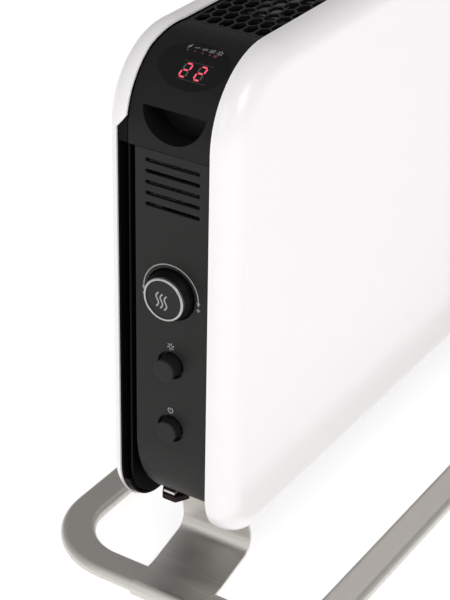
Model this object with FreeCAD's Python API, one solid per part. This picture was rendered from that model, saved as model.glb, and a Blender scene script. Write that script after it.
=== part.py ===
"""Portable oil filled room heater: two enamelled steel panels round a black controls strip,
an oil core with a blower inside, and a tubular aluminium foot frame on two C-shaped straps.

Millimetres. X runs along the heater (controls at -X), Y across it (front panel at -Y), Z up.
The origin is on the floor under the middle of the heater.
"""
import FreeCAD, Part
import math
import os

V = FreeCAD.Vector
X_AXIS, Y_AXIS, Z_AXIS = V(1, 0, 0), V(0, 1, 0), V(0, 0, 1)

# ---------------------------------------------------------------- driving dimensions
# body
strip_length = 740.0        # outer face of one end plate to the outer face of the other
front_bulge = 21.5          # strip to the front panel's outer face
rear_bulge = 24.0           # strip to the rear panel's outer face
panel_bottom = 66.5         # floor to the bottom edge of the panels
panel_top = 462.0           # floor to the top of the panels
sheet = 1.5                 # enamelled steel of the panels
panel_edge_radius = 17.0    # rounding from a panel's face into its flange
panel_top_radius = 65.0     # upper corners of the panels, seen from the front
panel_bottom_radius = 47.0  # lower corners of the panels

# black strip between the panels
strip_depth = 66.0          # gap between the two panels' flanges
strip_recess = 2.5          # strip lies this far below the flanges at the ends and on top
strip_bottom = 79.0         # floor to the flat underside of the strip
strip_corner_low = 65.5     # floor to the point the lower corner's arc would reach
strip_bottom_radius = 80.0
plate_reach = 60.0          # length of an end plate along the underside
plate_rear_gap = 1.5        # rear panel's flange edge to an end plate's rear edge
plate_edge_radius = 2.0     # rounding of that edge
strip_skin = 2.5            # wall of the mouldings and plates
strip_gap = 0.7             # gap between the strip and a flange
seam_height = 388.0         # seam between a top moulding and the plate below it
seam_gap = 0.4
grille_start = 66.5         # strip end to the seam between a top moulding and the grille
flare = 3.3                 # a top moulding's rear edge stands out past the strip at its lower seam
flare_start = 30.0          # strip end to where that edge begins to run in towards the grille

# inner frames
frame_sheet = 1.5
frame_inset = 18.0          # panel edge to the floor of a frame
frame_web_gap = 4.0         # strip to the near face of a frame's web
frame_overlap = 3.0         # a frame's floor reaches this far under the strip
fit_gap = 0.1               # between pieces that seat on each other
ridge_inset = 5.8           # panel edge to the outer edge of the rear frame's web
notch_width = 12.4          # strip to the rear panel's cut-back edge
rear_notch_top = 399.0      # rear flange stops here; below it the rear channel is open
notch_corner = 10.0         # height of the notch's rounded upper end
lining_gap = 0.2            # rear panel's cut edge to the black lining
lining_rise = 12.0          # the lining's filler goes on this far above the notch
lip_inset = 2.6             # panel edge to the lip that closes the rear channel below
lip_gap = 6.5               # strip to the lip's near edge
lip_top = 100.0             # height at which the lip begins

# honeycomb outlet
cell_pitch_x = 14.0
cell_pitch_y = 10.0
cell_bar = 1.8
grille_thickness = 2.4
grille_rim = 2.4

# vent slots of an end plate
slot_count = 5
slot_pitch = 8.5
slot_length = 46.0
slot_height = 3.2
slot_shift = 1.0            # slots' middle from the middle plane, towards the front
slot_top = 379.6            # height of the uppermost slot

# grip recess of a top moulding
grip_width = 52.5
grip_top = 419.0            # straight upper edge
grip_drop = 23.5            # from that edge to the lowest point
grip_depth = 22.0
grip_wall = 2.0

# display
display_arc = 60.3          # along the strip's upper corner, from where it starts to the window
window_shift = 1.4          # window's middle from the middle plane, towards the front
window_width = 55.9
window_height = 38.5
window_thickness = 1.4
window_shelf = 3.0          # ledge of the moulding under the window's edge
digit_block = (13.0, 23.5, 6.0)   # height, width and depth of the digit module
board_thickness = 1.6
lamp_count = 5
lamp_pitch = 5.9
lamp_radius = 1.4
lamp_offset = 10.5          # from the window's centre up to the row of lamps
lamp_shift = 2.8            # row of lamps from the window's centre, towards the rear

# knob
knob_height = 278.5
knob_projection = 10.5
knob_ring_radius = 17.0
knob_ring_band = 1.9
knob_skirt = 2.6            # the skirt is this much wider than the ring
knob_well_gap = 1.2
knob_well_depth = 6.5
knob_press = 1.0
well_floor = 1.5            # floor of a control's well
shaft_radius = 3.0
shaft_gap = 0.05

# push buttons
fan_button_height = 218.8
power_button_height = 163.6
button_radius = 8.6
button_well_gap = 2.8
button_gap = 0.35
button_well_depth = 5.0
button_projection = 9.6     # button out
button_travel = 2.9         # power button rests in, fan button rests out
button_stem_radius = 2.0
button_wall = 1.6
button_flange = 1.5         # retaining flange behind the well's floor
button_flange_thickness = 1.4
button_flange_gap = 0.6     # flange to the floor when the button is out
switch_depth = 11.0         # a push switch stands this far in front of the board

# electronics behind the end plate
board_setback = 30.0        # plate's outer face to the board's front face
board_low, board_high = 140.0, 330.0
board_width = 54.0

# oil core
column_count = 8
column_pitch = 70.0
core_centre = 25.0
column_thickness = 16.0
column_width = 80.0
column_low, column_high = 150.0, 425.0
column_sheet = 1.2
column_corner = 12.0
upper_header, lower_header = 400.0, 175.0
header_radius = 14.0
header_wall = 1.2
element_rod_radius = 3.5
element_rod_spacing = 14.0
element_flange_radius = 20.0
element_flange_thickness = 4.0
bracket_width = 96.0
bracket_flange = 12.0

# cross-flow blower
blower_axis_height = 119.0
blower_length = 420.0
impeller_radius = 20.0
impeller_gap = 4.0
blade_count = 18
blade_depth = 6.0
blade_thickness = 1.0
blower_shaft_radius = 3.0
motor_radius = 22.0
motor_length = 34.0
housing_sheet = 1.2

# foot frame
tube_width = 29.0
tube_height = 11.0
tube_wall = 1.5
foot_corner_radius = 57.4
foot_half_width = 119.3     # middle plane to the centreline of a long side
foot_end_offset = 1.6       # end plate's outer face to the centreline of a short side
pad_thickness = 2.4
pad_radius = 9.0
joiner_length = 60.0

# straps
strap_front = 35.5          # middle plane to the strap's front edge
strap_rear = 28.0           # middle plane to its rear edge
strap_waist = 32.2          # front edge where the strap passes between the panels
strap_sheet = 2.0
strap_rise_radius = 60.0    # gentle bend where the strap leaves the tube
strap_rise = 15.0           # angle of the ramp after it
strap_level = 15.0          # flat run between the sleeve and that bend
waist_start, waist_end = 22.0, 4.0    # below the panels: where the strap begins and ends to narrow
strap_lower_radius = 13.0
strap_lean = 8.0            # upright part leans back by this angle
strap_upper_radius = 10.0
strap_reach = 61.5          # end plate to the strap's outermost point
strap_tip = 39.0            # end plate to the free edge of the upper flange
tab_tip = 31.2              # end plate to the tips of the tabs round the thumb screws
tab_width = 10.0
thumb_radius = 12.4         # to the corners of the hexagonal knob
thumb_round = 2.5
thumb_height = 5.5
thumb_collar_radius = 7.0
thumb_collar_height = 1.4
thumb_offset = 41.5         # end plate to the thumb screws
thumb_spacing = 44.0
stud_radius = 2.5
boss_radius = 7.5
boss_height = 18.0

# cord entry
gland_position = 110.0      # end plate to the gland
gland_bore = 3.7
gland_collar = 9.0

# ---------------------------------------------------------------- derived places
end_x = -strip_length / 2
half_strip = strip_depth / 2
front_depth = half_strip + front_bulge
rear_depth = half_strip + rear_bulge
plate_half = half_strip - plate_rear_gap
flare_half = half_strip + flare
frame_web_offset = half_strip + frame_web_gap
frame_inner = half_strip - frame_overlap
notch_y = half_strip + notch_width
lip_start = half_strip + lip_gap
half_skin = half_strip - strip_gap
knob_skirt_radius = knob_ring_radius + knob_skirt
button_well_radius = button_radius + button_well_gap
panel_end = end_x - strip_recess
strip_top = panel_top - strip_recess
strip_top_radius = panel_top_radius - strip_recess
corner_x = end_x + strip_top_radius
corner_z = strip_top - strip_top_radius
tube_bottom = pad_thickness
tube_top = tube_bottom + tube_height
tube_middle = tube_bottom + tube_height / 2
foot_end_x = end_x + foot_end_offset
board_x = end_x + board_setback
first_column = core_centre - column_pitch * (column_count - 1) / 2
last_column = first_column + column_pitch * (column_count - 1)
bracket_near = first_column - column_thickness / 2 - frame_sheet - fit_gap
bracket_far = last_column + column_thickness / 2 + fit_gap
frame_floor = frame_inset + frame_sheet
big = 3 * strip_length      # longer than anything here, for cutting tools

parts = {}


# ---------------------------------------------------------------- helpers
def box(x0, x1, y0, y1, z0, z1):
    """Box between two corners."""
    return Part.makeBox(x1 - x0, y1 - y0, z1 - z0, V(x0, y0, z0))


def rod(radius, start, length, axis=X_AXIS):
    """Solid cylinder that starts at a point."""
    return Part.makeCylinder(radius, length, start, axis)


def ring(outer, inner, start, length, axis=X_AXIS):
    """Hollow cylinder that starts at a point."""
    return rod(outer, start, length, axis).cut(rod(inner, start, length, axis))


def rounded_face(x0, x1, z0, z1, top_radius, bottom_radius):
    """Upright rounded rectangle in the plane y = 0."""
    t, b, s = top_radius, bottom_radius, math.sqrt(0.5)
    corners = (
        (V(x0, 0, z1 - t), V(x0 + t - t * s, 0, z1 - t + t * s), V(x0 + t, 0, z1)),
        (V(x1 - t, 0, z1), V(x1 - t + t * s, 0, z1 - t + t * s), V(x1, 0, z1 - t)),
        (V(x1, 0, z0 + b), V(x1 - b + b * s, 0, z0 + b - b * s), V(x1 - b, 0, z0)),
        (V(x0 + b, 0, z0), V(x0 + b - b * s, 0, z0 + b - b * s), V(x0, 0, z0 + b)),
    )
    edges = []
    for i, (start, middle, end) in enumerate(corners):
        edges.append(Part.Arc(start, middle, end).toShape())
        edges.append(Part.LineSegment(end, corners[(i + 1) % 4][0]).toShape())
    return Part.Face(Part.Wire(edges))


def panel_region(inset, y0, y1):
    """Prism of the panels' outline, moved in by an inset."""
    face = rounded_face(panel_end + inset, -panel_end - inset, panel_bottom + inset,
                        panel_top - inset, panel_top_radius - inset, panel_bottom_radius - inset)
    face.translate(V(0, y0, 0))
    return face.extrude(V(0, y1 - y0, 0))


def strip_region(inset, y0, y1):
    """Prism of the black strip's outline, moved in by an inset."""
    face = rounded_face(end_x + inset, -end_x - inset, strip_corner_low + inset, strip_top - inset,
                        strip_top_radius - inset, strip_bottom_radius - inset)
    face.translate(V(0, y0, 0))
    region = face.extrude(V(0, y1 - y0, 0))
    return region.cut(box(-big, big, y0 - 1, y1 + 1, 0, strip_bottom + inset))


def far_copy(shape):
    """The same piece at the other end of the heater."""
    return shape.mirror(V(0, 0, 0), X_AXIS)


def polygon_prism(points, vector):
    """Prism of a flat polygon."""
    return Part.Face(Part.makePolygon(points + points[:1])).extrude(vector)


def bend(x, z, heading, steps, thickness, y0, y1):
    """Bent sheet of constant thickness, from a path in the plane y = 0.

    heading is the start direction in degrees from +X towards +Z. A step is a length, or a
    pair of radius and turn in degrees (positive to the left). The sheet lies to the left.
    """
    outer, inner = [], []
    angle = math.radians(heading)
    point = V(x, 0, z)

    def left(a):
        return V(-math.sin(a), 0, math.cos(a))

    for step in steps:
        if isinstance(step, tuple):
            radius, turn = step[0], math.radians(step[1])
            side = 1 if turn > 0 else -1
            centre = point + left(angle) * (side * radius)
            ends = [angle, angle + turn / 2, angle + turn]
            outer.append([centre - left(a) * (side * radius) for a in ends])
            inner.append([centre - left(a) * (side * radius - thickness) for a in ends])
            angle += turn
            point = outer[-1][-1]
        else:
            end = point + V(math.cos(angle), 0, math.sin(angle)) * step
            outer.append([point, end])
            inner.append([point + left(angle) * thickness, end + left(angle) * thickness])
            point = end

    def edge(points):
        if len(points) == 3:
            return Part.Arc(*points).toShape()
        return Part.LineSegment(*points).toShape()

    edges = [edge(points) for points in outer]
    edges.append(edge([outer[-1][-1], inner[-1][-1]]))
    edges += [edge(points[::-1]) for points in inner[::-1]]
    edges.append(edge([inner[0][0], outer[0][0]]))
    face = Part.Face(Part.Wire(edges))
    face.translate(V(0, y0, 0))
    return face.extrude(V(0, y1 - y0, 0))


def stadium(length, height, centre, normal_length):
    """Slot-shaped prism along X, long way across Y."""
    r = height / 2
    half = length / 2 - r
    bar = box(centre.x, centre.x + normal_length, centre.y - half, centre.y + half,
              centre.z - r, centre.z + r)
    for side in (-1, 1):
        bar = bar.fuse(rod(r, V(centre.x, centre.y + side * half, centre.z), normal_length))
    return bar.removeSplitter()


def rounded_edges(shape, radius, test):
    """Fillet the edges that a test picks."""
    return shape.makeFillet(radius, [e for e in shape.Edges if test(e)])


def screw(radius, head_radius, head_height, length, seat, direction):
    """Pan-head screw with a cross recess; the head stands out against the direction."""
    shank = rod(radius, seat, length, direction)
    head = rod(head_radius, seat, head_height, direction * -1)
    top = seat - direction * head_height
    head = rounded_edges(head, head_height * 0.45,
                         lambda e: (e.CenterOfMass - top).Length < 0.01 and len(e.Vertexes) == 1)
    across = direction.cross(Z_AXIS if abs(direction.z) < 0.5 else X_AXIS)
    recess_depth = head_height * 0.6
    for arm in (across, direction.cross(across)):
        wing = Part.makeBox(head_radius * 1.1, head_radius * 0.25, recess_depth * 2)
        wing.translate(V(-head_radius * 0.55, -head_radius * 0.125, -recess_depth))
        wing.Placement = FreeCAD.Placement(
            top, FreeCAD.Rotation(arm, direction.cross(arm), direction, "ZXY")
        ).multiply(wing.Placement)
        head = head.cut(wing)
    return head.fuse(shank)


# ---------------------------------------------------------------- panels
def panel(depth):
    """Enamelled steel pan: flat face, rounded edge and flange. Built for the +Y side."""
    def rounded_block(inset, y0, y1, radius):
        block = panel_region(inset, y0, y1)
        return rounded_edges(block, radius, lambda e: all(abs(v.Y - y1) < 0.001 for v in e.Vertexes))

    outside = rounded_block(0, half_strip, depth, panel_edge_radius)
    inside = rounded_block(sheet, half_strip - 1, depth - sheet, panel_edge_radius - sheet)
    return outside.cut(inside)


def before_rear_edge(gap):
    """Prism of everything in front of the top moulding's flared rear edge, moved out by a gap."""
    corners = [(end_x - 10, flare_half + gap), (end_x + flare_start, flare_half + gap),
               (end_x + grille_start, half_skin + gap)]
    edge = [V(x, y, 0) for x, y in corners] + [V(-x, y, 0) for x, y in corners[::-1]]
    return polygon_prism(edge + [V(-end_x + 10, -big, 0), V(end_x - 10, -big, 0)], V(0, 0, big))


def notched_rear_panel():
    """Rear panel: its flange is cut back at the ends and below, so the rear channel is open."""
    start, flange = half_strip - 1, flare_half + strip_gap
    outline = [
        Part.LineSegment(V(0, start, 0), V(0, notch_y, 0)),
        Part.LineSegment(V(0, notch_y, 0), V(0, notch_y, rear_notch_top)),
        Part.Arc(V(0, notch_y, rear_notch_top),
                 V(0, (notch_y + flange) / 2, rear_notch_top + notch_corner * 0.45),
                 V(0, flange, rear_notch_top + notch_corner)),
        Part.LineSegment(V(0, flange, rear_notch_top + notch_corner),
                         V(0, start, rear_notch_top + notch_corner)),
        Part.LineSegment(V(0, start, rear_notch_top + notch_corner), V(0, start, 0)),
    ]
    cutter = Part.Face(Part.Wire([e.toShape() for e in outline])).extrude(V(big, 0, 0))
    cutter.translate(V(-big / 2, 0, 0))
    return panel(rear_depth).cut(before_rear_edge(strip_gap)).cut(cutter)


def inner_frame(depth, web_inset):
    """T-section steel frame that carries a panel. Built for the +Y side."""
    floor = panel_region(frame_inset, frame_inner, depth - sheet - fit_gap)
    floor = floor.cut(panel_region(frame_floor, frame_inner - 1, depth))
    web = panel_region(web_inset, frame_web_offset, frame_web_offset + frame_sheet)
    web = web.cut(panel_region(frame_inset + frame_sheet / 2, frame_inner, depth))
    return floor.fuse(web).removeSplitter()


def rear_lining():
    """Black wall beside the rear panel's cut edge, the lip below and the fillers under the notch."""
    wall_y = notch_y + lining_gap
    hole = panel_region(frame_inset + frame_sheet / 2, frame_inner, rear_depth)
    wall = panel_region(lip_inset, wall_y - frame_sheet, wall_y).cut(hole)
    lip = panel_region(lip_inset, lip_start, wall_y)
    lip = lip.cut(panel_region(lip_inset + frame_sheet, frame_inner, rear_depth))
    lip = lip.common(box(-big, big, 0, rear_depth, 0, lip_top))
    filler = panel_region(lip_inset, frame_web_offset, wall_y - frame_sheet / 2).cut(hole)
    filler = filler.common(box(-big, big, 0, rear_depth, seam_height + seam_gap,
                               rear_notch_top + lining_rise))
    return wall.fuse(lip).fuse(filler)


def panel_screw_seats():
    """Places of the screws that hold the rear panel."""
    x = -end_x - 1.4 * frame_inset
    middle = (panel_top + panel_bottom) / 2
    inset = frame_inset + 5
    return [(sx * x, z) for sx in (-1, 1) for z in (middle - 60, middle + 60)] + [
        (sx * x * 0.6, z) for sx in (-1, 1) for z in (panel_bottom + inset, panel_top - inset)]


screw_radius = 2.0
rear_panel = notched_rear_panel()
rear_frame = inner_frame(rear_depth, ridge_inset).fuse(rear_lining())
rear_screws = []
for seat_x, seat_z in panel_screw_seats():
    seat = V(seat_x, rear_depth, seat_z)
    # a welded tab on the frame takes each screw
    vertical = abs(seat_z - (panel_top + panel_bottom) / 2) < 100
    tab_y = rear_depth - sheet - fit_gap
    if vertical:
        side = 1 if seat_x > 0 else -1
        wall = side * (-panel_end - frame_floor)
        tab = box(min(wall, seat_x - side * 6), max(wall, seat_x - side * 6), tab_y - 4, tab_y,
                  seat_z - 8, seat_z + 8)
    else:
        high = seat_z > panel_bottom + 100
        wall = panel_top - frame_floor if high else panel_bottom + frame_floor
        reach = seat_z - 8 if high else seat_z + 8
        tab = box(seat_x - 8, seat_x + 8, tab_y - 4, tab_y, min(wall, reach), max(wall, reach))
    rear_frame = rear_frame.fuse(tab)
    hole = rod(screw_radius, seat - Y_AXIS * 8, 16, Y_AXIS)
    rear_frame = rear_frame.cut(hole)
    rear_panel = rear_panel.cut(rod(screw_radius + 0.3, seat - Y_AXIS * 8, 16, Y_AXIS))
    rear_screws.append(screw(screw_radius, 4.0, 2.4, 7.0, seat, Y_AXIS * -1))
parts["front_panel"] = panel(front_depth).mirror(V(0, 0, 0), Y_AXIS)
parts["rear_panel"] = rear_panel
parts["front_frame"] = inner_frame(front_depth, sheet + fit_gap).mirror(V(0, 0, 0), Y_AXIS)
parts["rear_frame"] = rear_frame.removeSplitter()
parts["rear_panel_screws"] = Part.makeCompound(rear_screws)


# ---------------------------------------------------------------- black strip
wall_floor = frame_inset - 2 * fit_gap
wall_thickness = 2.0


def strip_piece(window, rear):
    """The part of the strip inside a window, as a tray with a front and a rear side wall."""
    outside = strip_region(0, -half_skin, rear)
    if rear < half_skin:
        outside = rounded_edges(outside, plate_edge_radius, lambda e: e.BoundBox.YLength < 0.001
                                and abs(e.BoundBox.YMax - rear) < 0.001)
    if rear > half_skin:
        outside = outside.common(before_rear_edge(0))
    inside = strip_region(strip_skin, -half_skin + wall_thickness, rear - wall_thickness)
    if rear > half_skin:
        inside = inside.common(before_rear_edge(-wall_thickness))
    deep = panel_region(wall_floor, -half_skin - 1, rear + 1)
    return outside.cut(inside).cut(deep).common(window).removeSplitter()


def control_well(shape, height, radius, depth, hole_radius, floor):
    """Round recess for a control: collar, floor and a hole through the floor."""
    centre = V(end_x, 0, height)
    shape = shape.fuse(rod(radius + 2, V(end_x + 0.5, 0, height), depth + floor - 0.5))
    shape = shape.cut(rod(radius, centre - X_AXIS, depth + 1))
    return shape.cut(rod(hole_radius, centre, depth + floor + 1))


def end_plate():
    """Lower plate with its vent slots and the bosses that take the thumb screws."""
    seam = seam_height - seam_gap / 2
    window = box(end_x - 1, end_x + plate_reach, -half_strip, half_strip, strip_bottom - 1, seam)
    plate = strip_piece(window, plate_half)
    for k in range(slot_count):
        slot = stadium(slot_length, slot_height,
                       V(end_x - 1, -slot_shift, slot_top - k * slot_pitch), 6)
        plate = plate.cut(slot)
    between_frames = strip_region(0, -frame_inner + fit_gap, frame_inner - fit_gap)
    for side in (-1, 1):
        place = V(end_x + thumb_offset, side * thumb_spacing / 2, strip_bottom)
        boss = rod(boss_radius, place, boss_height, Z_AXIS)
        plate = plate.fuse(boss.common(between_frames))
        plate = plate.cut(rod(stud_radius, place - Z_AXIS, 16, Z_AXIS))
    return plate.removeSplitter()


def top_moulding():
    """Corner moulding with a grip recess."""
    window = box(end_x - 1, end_x + grille_start - seam_gap / 2, -half_strip, flare_half + 1,
                 seam_height + seam_gap / 2, panel_top)
    moulding = strip_piece(window, flare_half)
    # half-moon pocket: straight upper edge and one arc below it
    def half_moon(grow, x0, x1):
        half, top, low = grip_width / 2 + grow, grip_top + grow, grip_top - grip_drop - grow
        edges = [Part.Arc(V(x0, -half, top), V(x0, 0, low), V(x0, half, top)).toShape(),
                 Part.LineSegment(V(x0, half, top), V(x0, -half, top)).toShape()]
        return Part.Face(Part.Wire(edges)).extrude(V(x1 - x0, 0, 0))

    pocket_end = end_x + grip_depth
    housing = half_moon(grip_wall, end_x - 1, pocket_end + grip_wall)
    housing = housing.common(strip_region(0.5, -half_skin, half_skin))
    housing = housing.common(box(end_x - 2, end_x + 60, -half_skin, half_skin,
                                 seam_height + seam_gap / 2, panel_top))
    moulding = moulding.fuse(housing).cut(half_moon(0, end_x - 2, pocket_end))
    return moulding.removeSplitter()


# local frame of the display: up along the corner, across, and out of the surface
display_angle = display_arc / panel_top_radius
display_out = V(-math.cos(display_angle), 0, math.sin(display_angle))
display_up = V(math.sin(display_angle), 0, math.cos(display_angle))
display_centre = V(corner_x, -window_shift, corner_z) + display_out * strip_top_radius


def at_display(shape, up=0.0, across=0.0, out=0.0):
    """Move a shape drawn with X up, Y across and Z out onto the display."""
    turn = FreeCAD.Rotation(display_up, Y_AXIS * -1, display_out, "ZXY")
    place = display_centre + display_up * up - Y_AXIS * across + display_out * out
    copy = shape.copy()
    copy.Placement = FreeCAD.Placement(place, turn).multiply(copy.Placement)
    return copy


def oval(grow, depth, z0):
    """Oval prism drawn flat, long way along Y."""
    major, minor = window_width / 2 + grow, window_height / 2 + grow
    curve = Part.Ellipse(V(0, major, z0), V(minor, 0, z0), V(0, 0, z0))
    return Part.Face(Part.Wire([curve.toShape()])).extrude(V(0, 0, depth))


def corner_shell(depth_out, depth_in):
    """Cylinder shell of the upper corner between two depths below the strip's surface."""
    start = V(corner_x, -half_strip, corner_z)
    return ring(strip_top_radius - depth_out, strip_top_radius - depth_in, start, strip_depth, Y_AXIS)


control_moulding = top_moulding()
window_pocket = at_display(oval(fit_gap, 40, -20)).common(
    corner_shell(-2, window_thickness + fit_gap))
window_hole = at_display(oval(-window_shelf, 40, -20)).common(corner_shell(0, strip_skin + 2))
control_moulding = control_moulding.cut(window_pocket).cut(window_hole)
parts["control_top_moulding"] = control_moulding
parts["far_top_moulding"] = far_copy(top_moulding())
parts["display_window"] = at_display(oval(0, 40, -20)).common(corner_shell(0, window_thickness))

control_plate = end_plate()
knob_well_radius = knob_skirt_radius + knob_well_gap
control_plate = control_well(control_plate, knob_height, knob_well_radius, knob_well_depth,
                             shaft_radius + 2, well_floor)
for height in (fan_button_height, power_button_height):
    control_plate = control_well(control_plate, height, button_well_radius, button_well_depth,
                                 button_radius + button_gap, well_floor)
parts["control_end_plate"] = control_plate
parts["far_end_plate"] = far_copy(end_plate())


def honeycomb(x0, x1, half_y, keep):
    """Wires of stretched hexagonal cells, clipped to a window."""
    a, h, d = cell_pitch_x / 1.5, cell_pitch_y / 2, cell_bar / 2
    slope = math.hypot(a / 2, h)
    tip = a - d * slope / h
    shoulder = tip - (h - d) * (a / 2) / h
    window = Part.Face(Part.makePolygon([V(x0, -half_y, 0), V(x1, -half_y, 0), V(x1, half_y, 0),
                                         V(x0, half_y, 0), V(x0, -half_y, 0)]))
    cells = []
    columns = int(math.ceil((x1 - x0) / 2 / cell_pitch_x)) + 1
    rows = int(math.ceil(half_y / cell_pitch_y)) + 1
    for i in range(-columns, columns + 1):
        for j in range(-rows, rows + 1):
            cx, cy = i * cell_pitch_x, j * cell_pitch_y + (cell_pitch_y / 2 if i % 2 else 0)
            corners = [V(cx + tip, cy, 0), V(cx + shoulder, cy + h - d, 0),
                       V(cx - shoulder, cy + h - d, 0), V(cx - tip, cy, 0),
                       V(cx - shoulder, cy - h + d, 0), V(cx + shoulder, cy - h + d, 0)]
            inside = all(x0 < c.x < x1 and abs(c.y) < half_y for c in corners)
            outline = Part.makePolygon(corners + corners[:1])
            if inside:
                cells.append(outline)
                continue
            for piece in Part.Face(outline).common(window).Faces:
                if piece.Area > keep:
                    cells.append(piece.OuterWire)
    return cells


def outlet_grille():
    """Honeycomb plate over the hot air outlet, with a deeper rim."""
    x1 = -end_x - grille_start - seam_gap / 2
    x0 = -x1
    inner_y = half_skin - grille_rim
    border = Part.makePolygon([V(x0, -half_skin, 0), V(x1, -half_skin, 0), V(x1, half_skin, 0),
                               V(x0, half_skin, 0), V(x0, -half_skin, 0)])
    cells = honeycomb(x0 + grille_rim, x1 - grille_rim, inner_y, 8.0)
    mesh = Part.makeFace([border] + cells, "Part::FaceMakerBullseye")
    mesh = mesh.extrude(V(0, 0, -grille_thickness))
    rim_depth = frame_inset - strip_recess - 2 * fit_gap
    rim = box(x0, x1, -half_skin, half_skin, -rim_depth, -grille_thickness / 2)
    rim = rim.cut(box(x0 + grille_rim / 2, x1 - grille_rim / 2, -half_skin + grille_rim / 2,
                      half_skin - grille_rim / 2, -big, big))
    mesh = mesh.fuse(rim)
    mesh.translate(V(0, 0, strip_top))
    return mesh.removeSplitter()


parts["outlet_grille"] = outlet_grille()


def underside_cover():
    """Bottom cover with rows of inlet slots and the hole for the cord gland."""
    start = end_x + plate_reach + seam_gap
    window = box(start, -start, -half_strip, half_strip, strip_bottom - 1, strip_bottom + 20)
    cover = strip_piece(window, plate_half)
    rows = int((-2 * start - 160) / 16)
    for i in range(rows):
        x = (i - (rows - 1) / 2) * 16 + 30
        for side in (-1, 1):
            slot = box(x - 3, x + 3, side * 15 - 10, side * 15 + 10, strip_bottom - 1,
                       strip_bottom + strip_skin + 1)
            cover = cover.cut(slot)
    place = V(end_x + gland_position, 0, strip_bottom - 1)
    return cover.cut(rod(gland_collar - 3, place, 6, Z_AXIS))


parts["underside_cover"] = underside_cover()

# cord gland: collar below the cover, neck through it and a clamp nut above
gland_place = V(end_x + gland_position, 0, strip_bottom)
gland_neck = gland_collar - 3 - fit_gap
gland = rod(gland_collar, gland_place, 5, Z_AXIS * -1)
gland = rounded_edges(gland, 2.0, lambda e: e.BoundBox.ZMax < strip_bottom - 4.9)
gland = gland.fuse(rod(gland_neck, gland_place - Z_AXIS, strip_skin + 9, Z_AXIS))
nut = rod(gland_collar, gland_place + Z_AXIS * (strip_skin + fit_gap), 5, Z_AXIS)
gland = gland.fuse(nut).cut(rod(gland_bore, gland_place - Z_AXIS * 6, 30, Z_AXIS))
parts["cord_gland"] = gland.removeSplitter()


# ---------------------------------------------------------------- display and electronics
block_high, block_wide, block_deep = digit_block
module_out = -(strip_skin + 0.6)
board_out = module_out - block_deep - fit_gap - board_thickness
digits = box(-block_high / 2, block_high / 2, -block_wide / 2, block_wide / 2, -block_deep, 0)
parts["display_module"] = at_display(digits, up=-4.0, out=module_out)
lamps = []
for k in range(lamp_count):
    across = (k - (lamp_count - 1) / 2) * lamp_pitch - lamp_shift
    body_length = block_deep - lamp_radius
    lamp = rod(lamp_radius, V(0, 0, -block_deep), body_length, Z_AXIS)
    lamp = lamp.fuse(Part.makeSphere(lamp_radius, V(0, 0, body_length - block_deep)))
    lamps.append(at_display(lamp.removeSplitter(), up=lamp_offset, across=across, out=module_out))
parts["indicator_lamps"] = Part.makeCompound(lamps)
display_board = box(-13, 14, -20, 20, 0, board_thickness)
parts["display_board"] = at_display(display_board, out=board_out)

board = box(board_x, board_x + board_thickness, -board_width / 2, board_width / 2,
            board_low, board_high)
relay = box(board_x + board_thickness, board_x + board_thickness + 15, -10, 10,
            board_high - 34, board_high - 6)
capacitor = rod(6, V(board_x + board_thickness, 16, board_high - 20), 18)
for mount_y in (-1, 1):
    for mount_z in (board_low + 5, board_high - 5):
        hole = rod(1.6, V(board_x - 1, mount_y * (board_width / 2 - 5), mount_z), 4)
        board = board.cut(hole)
parts["control_board"] = board.fuse(relay).fuse(capacitor)

encoder_front = board_x - 9
encoder = box(encoder_front, board_x - fit_gap, -8, 8, knob_height - 7, knob_height + 7)
bushing_front = end_x + knob_well_depth + well_floor + fit_gap
encoder = encoder.fuse(rod(5.5, V(bushing_front, 0, knob_height),
                           encoder_front - bushing_front + 1))
shaft_end = encoder_front + 2
plunger_length = 2.4
plunger_radius = 3.8
encoder = encoder.cut(rod(shaft_radius + shaft_gap, V(end_x, 0, knob_height),
                          shaft_end - end_x))
encoder = encoder.cut(rod(plunger_radius + shaft_gap, V(shaft_end - knob_press, 0, knob_height),
                          plunger_length + 2 * knob_press + 0.5))
parts["encoder_body"] = encoder
parts["encoder_plunger"] = rod(plunger_radius, V(shaft_end, 0, knob_height), plunger_length)


def button_switch(height):
    """Switch behind a push button, with a bore for the button's stem."""
    front = board_x - switch_depth
    body = box(front, board_x - fit_gap, -7, 7, height - 7, height + 7)
    return body.cut(rod(button_stem_radius + shaft_gap, V(front - 1, 0, height), 9.5))


def push_button(height, out):
    """Round cap with a retaining flange and a stem that reaches the switch."""
    front = end_x - out
    length = out + button_well_depth + 3.2
    cap = rod(button_radius, V(front, 0, height), length)
    cap = rounded_edges(cap, 1.2, lambda e: e.BoundBox.XMax < front + 0.001)
    flange_start = end_x - out + button_projection + button_well_depth + well_floor
    flange_start += button_flange_gap
    cap = cap.fuse(rod(button_radius + button_flange, V(flange_start, 0, height),
                       button_flange_thickness))
    cap = cap.cut(rod(button_radius - button_wall, V(front + 2.0, 0, height), big))
    stem_end = board_x - switch_depth + 2.0 + (button_projection - out)
    return cap.fuse(rod(button_stem_radius, V(front + 1, 0, height), stem_end - front - 1))


power_out = button_projection - button_travel
parts["fan_button"] = push_button(fan_button_height, button_projection)
parts["power_button"] = push_button(power_button_height, power_out)
parts["fan_switch"] = button_switch(fan_button_height)
parts["power_switch"] = button_switch(power_button_height)


# ---------------------------------------------------------------- knob
def turned(profile, height):
    """Solid of revolution about the knob's axis, from pairs of projection and radius."""
    points = [V(end_x - out, 0, height + radius) for out, radius in profile]
    face = Part.Face(Part.makePolygon(points + points[:1]))
    return face.revolve(V(end_x, 0, height), X_AXIS, 360)


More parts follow.
